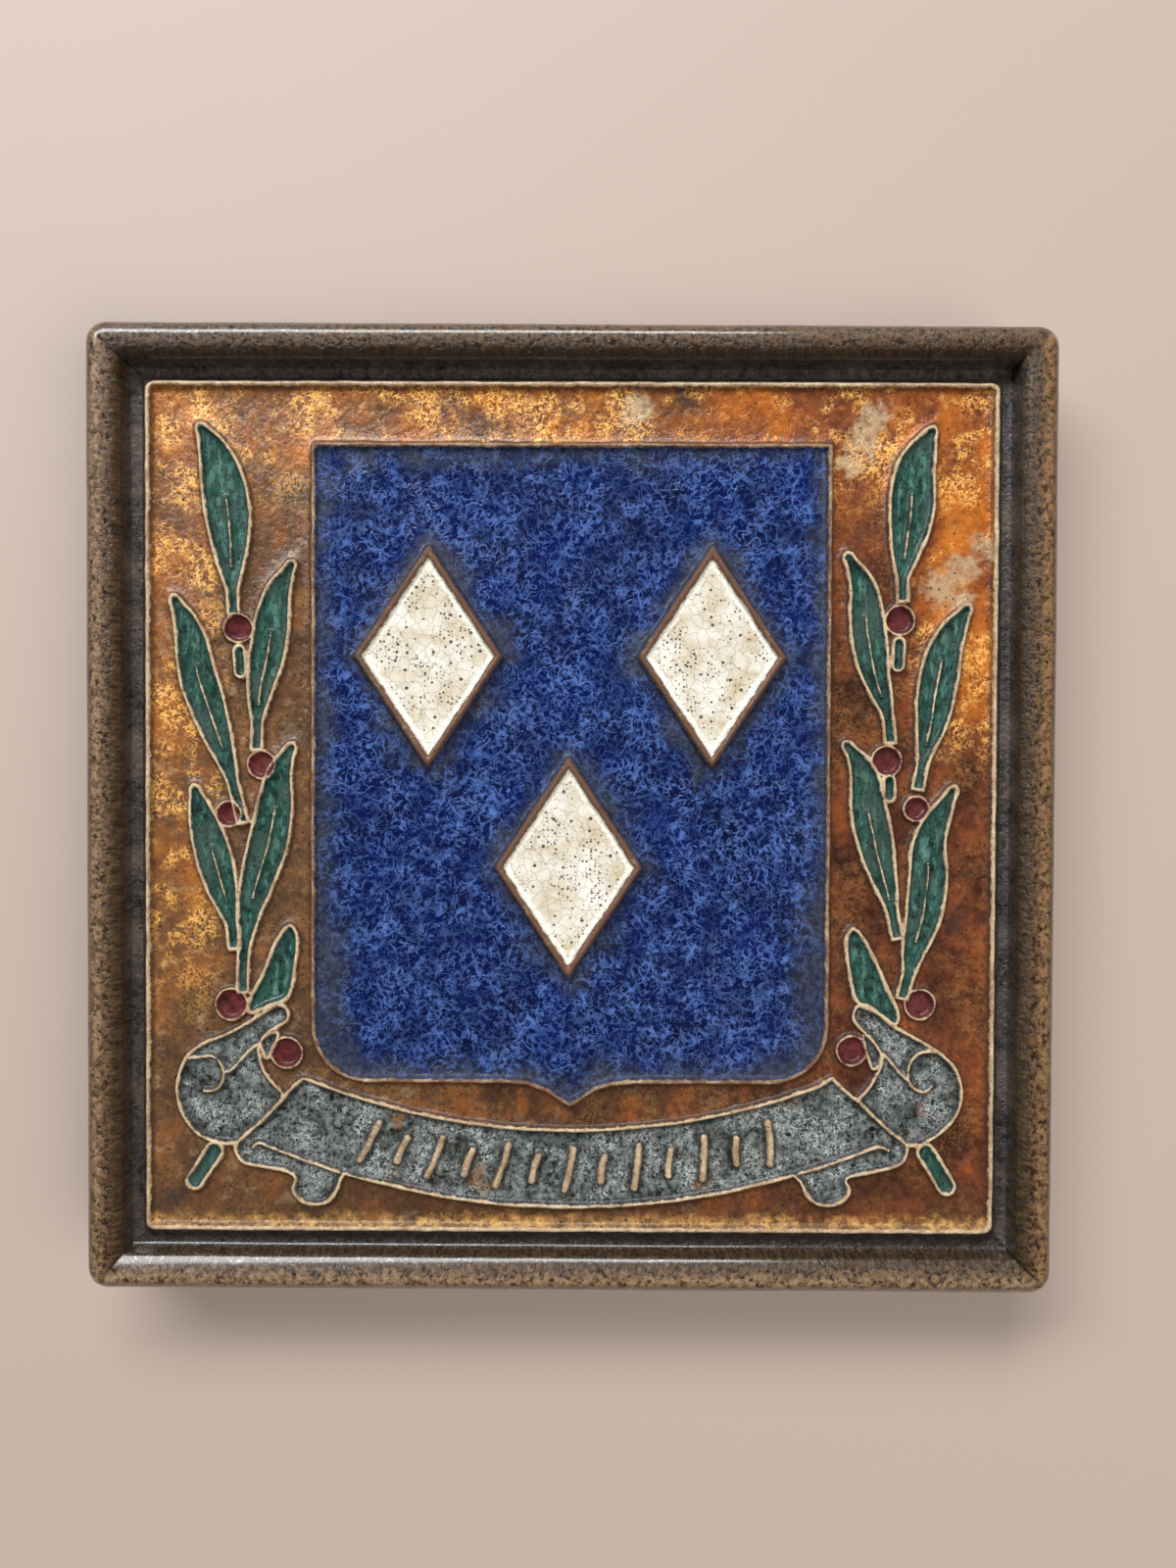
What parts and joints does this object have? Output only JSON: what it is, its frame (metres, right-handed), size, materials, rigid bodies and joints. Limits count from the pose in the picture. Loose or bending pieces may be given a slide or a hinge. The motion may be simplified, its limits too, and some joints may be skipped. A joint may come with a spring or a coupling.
{
  "type": "cloisonne wall tile",
  "caption": "Square glazed wall tile with a raised rim; raised clay lines hold the coloured glazes of a shield with lozenges, leafy branches and a ribbon.",
  "frame": {"origin": "centre of the flat back, which is also the centre of the underside when the tile lies on its back", "axes": "+Z out of the glazed face, +Y towards the top of the picture, +X to the picture's right"},
  "size_m": [0.109, 0.109, 0.012],
  "materials": {
    "rim_glaze": "glossy brown stoneware glaze, speckled olive and tan, worn pale on the rim's crest",
    "bare_clay": "unglazed fired clay, matt and slightly sandy",
    "amber_glaze": "mottled amber and brown lustre glaze with golden sparkle",
    "blue_glaze": "deep cobalt glaze with fine pale blue crystal threads",
    "white_glaze": "opaque cream glaze with dark pinholes and fine crackle",
    "green_glaze": "teal green glaze, paler where it is thick, with dark specks",
    "red_glaze": "dark red glaze in small round pools",
    "grey_glaze": "speckled blue-grey glaze"
  },
  "bodies": {
    "root": {"tile": "rim_glaze"}
  },
  "joints": []
}
